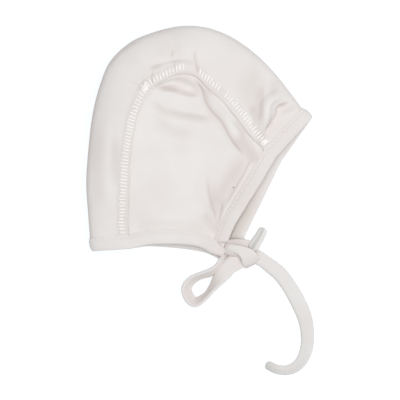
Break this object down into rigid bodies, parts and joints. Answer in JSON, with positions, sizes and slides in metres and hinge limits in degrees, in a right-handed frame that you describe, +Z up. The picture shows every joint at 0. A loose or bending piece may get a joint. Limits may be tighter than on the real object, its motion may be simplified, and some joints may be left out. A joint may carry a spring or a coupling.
{
  "type": "baby nightcap",
  "caption": "Baby's tie-on nightcap of soft jersey with bound face and neck edges, lying folded on its side with its ties knotted in a loop.",
  "frame": {"origin": "on the resting surface under the middle of the cap, measured without its knot and ties", "axes": "+Z up from the surface, +Y from the neck opening towards the crown, +X from the back of the head towards the face"},
  "size_m": [0.1512, 0.2311, 0.0312],
  "materials": {
    "jersey": "soft matt cotton jersey, off-white",
    "binding_tape": "folded cotton jersey tape, off-white"
  },
  "bodies": {
    "root": {"crown_panel": "jersey", "side_panel_upper": "jersey", "side_panel_lower": "jersey", "face_binding": "binding_tape", "neck_binding": "binding_tape", "tie_knot": "binding_tape", "tie_stub": "binding_tape", "tie_loop": "binding_tape", "tie_tail": "binding_tape"}
  },
  "joints": []
}
